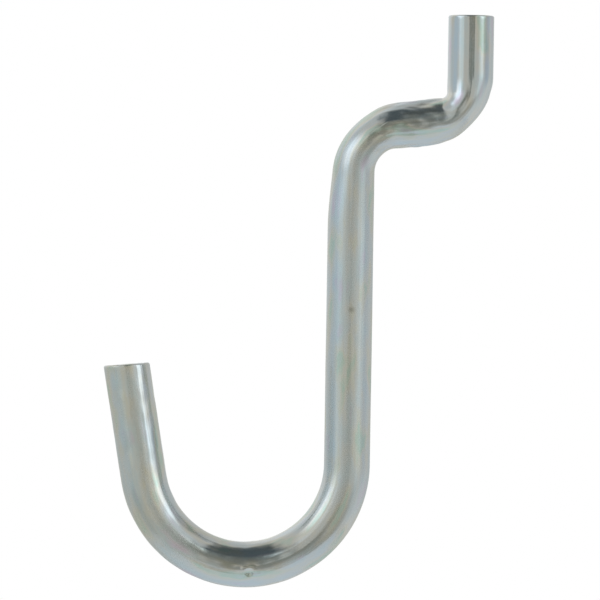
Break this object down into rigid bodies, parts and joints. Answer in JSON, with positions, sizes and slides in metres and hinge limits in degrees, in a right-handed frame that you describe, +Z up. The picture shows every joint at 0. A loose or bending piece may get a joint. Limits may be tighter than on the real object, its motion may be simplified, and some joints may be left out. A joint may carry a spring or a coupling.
{
  "type": "pegboard hook",
  "caption": "J-shaped hook bent from round zinc-plated steel wire, with an upturned peg that goes through a pegboard hole and a round hook below for hanging tools.",
  "frame": {"origin": "middle of the straight upright peg that stands behind the board, on the wire's centre line", "axes": "+Z up along the peg, +X from the front of the board towards its back, so the tip is on the -X side, and Y across the wire, with the whole hook bent in the XZ plane"},
  "size_m": [0.0399, 0.005, 0.0596],
  "materials": {
    "zinc_plate": "bright zinc plate with a clear passivation"
  },
  "bodies": {
    "root": {"hook": "zinc_plate"}
  },
  "joints": []
}
